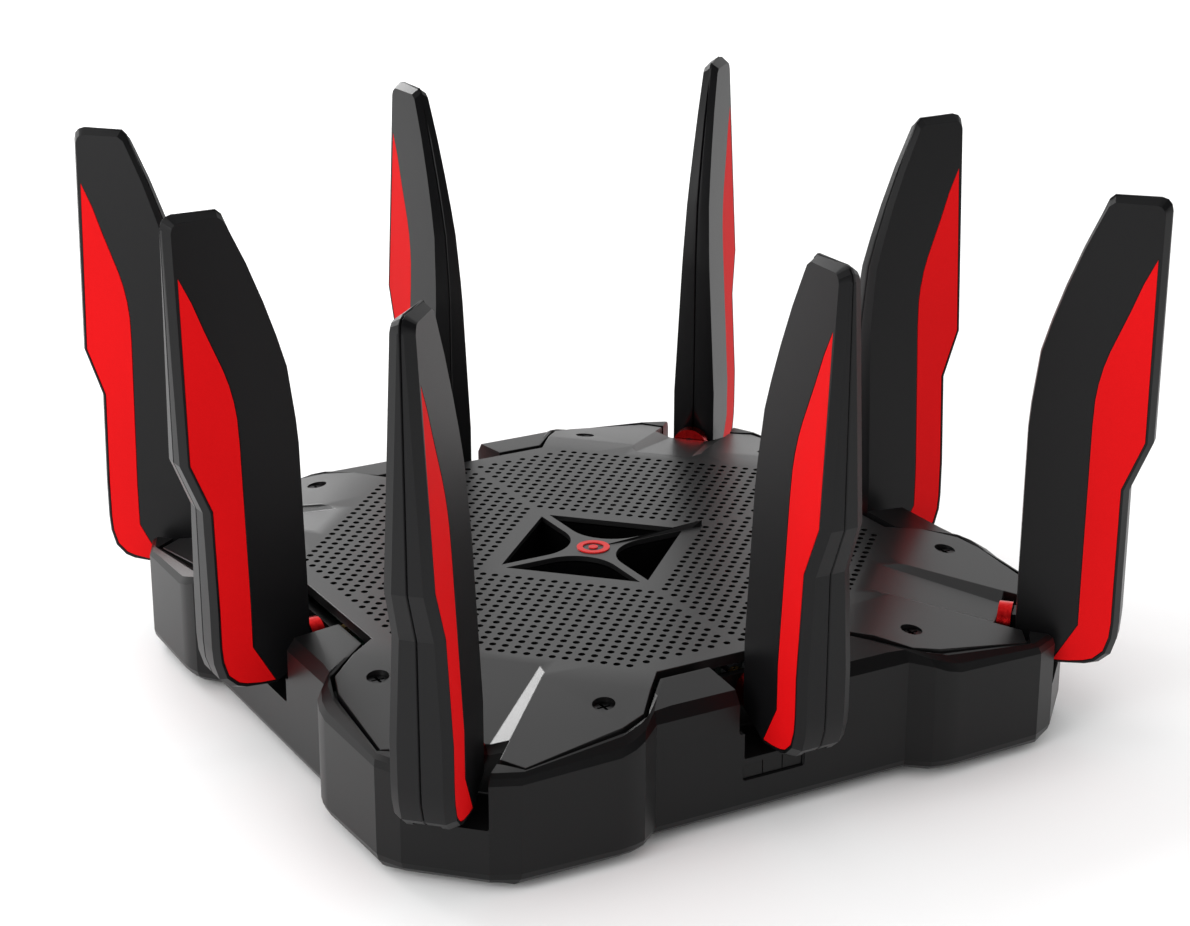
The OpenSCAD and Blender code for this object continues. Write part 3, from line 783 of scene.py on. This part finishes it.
print("cover filled:", len(cover.data.polygons), "faces")

# %% [markdown]
# ## The wells, the thickness and the screw holes
# Fill has closed the wells too, so the faces inside them are taken away by their place. A sheet has to face
# up before Solidify thickens it downwards, because on the finished shell the inner side would be turned
# round as well. The screw holes come last and are cut by cylinders. The walls of the vents and the underside
# get painted shade, a duller and darker black that stands for the shade there, since hardly any light comes back
# out of a small hole.

# %% Take the wells' fill away, give the sheet its thickness, and cut the screw holes
SHEET, SCREW_HOLE = 1.8, 3.5


def in_a_well(p):
    x, y = abs(p.x), abs(p.y)
    beyond_struts = x > STRUT and y > STRUT and x + y < DIAMOND
    in_bend = math.hypot(x - BEND_MIDDLE, y - BEND_MIDDLE) < BEND - 0.1
    return abs(p.z - TOP) < 0.01 and beyond_struts and (in_bend or x > BEND_MIDDLE or y > BEND_MIDDLE)


pick(cover, "FACE", lambda c, n: in_a_well(c))
bpy.ops.mesh.delete(type="FACE")
face_up(cover)
finish_modifier(cover, "SOLIDIFY", thickness=SHEET * MM, offset=-1.0)
for a in (0, 90, 180, 270):
    for x, y in ((106, 55.8), (106, -55.8)):
        nothing_selected()
        bpy.ops.mesh.primitive_cylinder_add(vertices=40, radius=SCREW_HOLE * MM, depth=20 * MM,
                                            location=(0, 0, 0))
        tool = bpy.context.object
        tool.data.transform(Matrix.Translation((x * MM, y * MM, 42 * MM)))
        carve(cover, turned(tool, a))
flat_faces(cover, 38)
cover.data.materials.clear()
for finish in (cover_grey, painted_shade_black):
    cover.data.materials.append(finish)
# Painted shade: the walls of the vents and the underside take the second, darker black, which stands in for the
# shade inside the holes and under the sheet.
VENTS_FROM, VENTS_TO = 44, 91
for face in cover.data.polygons:
    middle = face.center / MM
    among_vents = max(abs(middle.x), abs(middle.y)) <= VENTS_TO and abs(middle.x) + abs(middle.y) >= VENTS_FROM
    vent_wall = among_vents and abs(face.normal.z) <= 0.1
    underside = face.normal.z <= -0.5
    face.material_index = 1 if vent_wall or underside else 0
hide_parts("top_cover")
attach(cover, "router")
print("cover:", len(cover.data.polygons), "faces")

# %% [markdown]
# ## Camera
# The camera stands above the router, in front and to its left, and looks down by twenty degrees. A long lens
# keeps the near blades from growing too large.

# %% Camera
bpy.ops.object.camera_add(location=(-0.39426, -0.70441, 0.37011))
camera = bpy.context.object
yaw, pitch = 0.511, -0.349
look = Vector((math.sin(yaw) * math.cos(pitch), math.cos(yaw) * math.cos(pitch), math.sin(pitch)))
camera.rotation_euler = look.to_track_quat("-Z", "Y").to_euler()
camera.data.lens, camera.data.sensor_width = 77.5, 36
camera.data.clip_end = 50
bpy.context.scene.camera = camera
print("camera", round(camera.location.length, 3), "m from the router's foot")

# %% [markdown]
# ## Floor
# A plain, pale plane, large enough to fill the picture and to send soft light up under the blades.

# %% Floor
nothing_selected()
bpy.ops.mesh.primitive_plane_add(size=8, location=(0, 0, 0))
floor = bpy.context.object
floor.name = "floor"
floor_white = Finish("floor_white", 0.9)
floor_white.shader.inputs["Base Color"].default_value = (0.93, 0.93, 0.93, 1)
floor.data.materials.append(floor_white.material)
print("floor", floor.dimensions.x, "m wide")

# %% [markdown]
# ## Light
# A black object shows what it mirrors. Seen straight, the world is an even white. Mirrored, it is a ramp
# from dim in front to white behind, which gives the faces different tones without a hard light. Two
# softboxes, at the left and behind, add the broad sheen on the cover.

# %% Light
world = bpy.data.worlds.new("studio")
bpy.context.scene.world = world
world.use_nodes = True
sky = world.node_tree
background = sky.nodes["Background"]
background.inputs["Strength"].default_value = 1.0
path = sky.nodes.new("ShaderNodeLightPath")
where = sky.nodes.new("ShaderNodeTexCoord")
split = sky.nodes.new("ShaderNodeSeparateXYZ")
ramp = sky.nodes.new("ShaderNodeValToRGB")
ramp.color_ramp.elements[0].position, ramp.color_ramp.elements[0].color = 0.30, (0.10, 0.10, 0.105, 1)
ramp.color_ramp.elements[1].position, ramp.color_ramp.elements[1].color = 0.80, (1.0, 1.0, 1.0, 1)
turn = sky.nodes.new("ShaderNodeVectorMath")
turn.operation = "DOT_PRODUCT"
turn.inputs[1].default_value = (-0.25, 0.97, 0)
rescale = sky.nodes.new("ShaderNodeMath")
rescale.operation = "MULTIPLY_ADD"
rescale.inputs[1].default_value = 0.5
rescale.inputs[2].default_value = 0.5
mixer = sky.nodes.new("ShaderNodeMix")
mixer.data_type = "RGBA"
mixer.inputs[7].default_value = (1, 1, 1, 1)
sky.links.new(where.outputs["Generated"], turn.inputs[0])
sky.links.new(turn.outputs["Value"], rescale.inputs[0])
sky.links.new(rescale.outputs[0], ramp.inputs[0])
sky.links.new(ramp.outputs[0], mixer.inputs[6])
swap = sky.nodes.new("ShaderNodeMath")
swap.operation = "SUBTRACT"
swap.inputs[0].default_value = 1.0
sky.links.new(path.outputs["Is Glossy Ray"], swap.inputs[1])
sky.links.new(swap.outputs[0], mixer.inputs[0])
sky.links.new(mixer.outputs[2], background.inputs["Color"])


def softbox(name, place, aim, size, power):
    nothing_selected()
    bpy.ops.object.light_add(type="AREA", location=place)
    light = bpy.context.object
    light.name = name
    light.data.shape = "RECTANGLE"
    light.data.size, light.data.size_y = size
    light.data.energy = power
    light.rotation_euler = (Vector(aim) - Vector(place)).to_track_quat("-Z", "Y").to_euler()
    return light


softbox("left_box", (-1.5, -0.5, 0.7), (0, 0, 0.06), (0.9, 1.2), 14)
softbox("back_box", (-0.20, 1.55, 0.75), (-0.02, 0, 0.045), (1.0, 0.5), 16)
bpy.context.scene.view_settings.view_transform = "Standard"
print(len(bpy.data.lights), "softboxes")
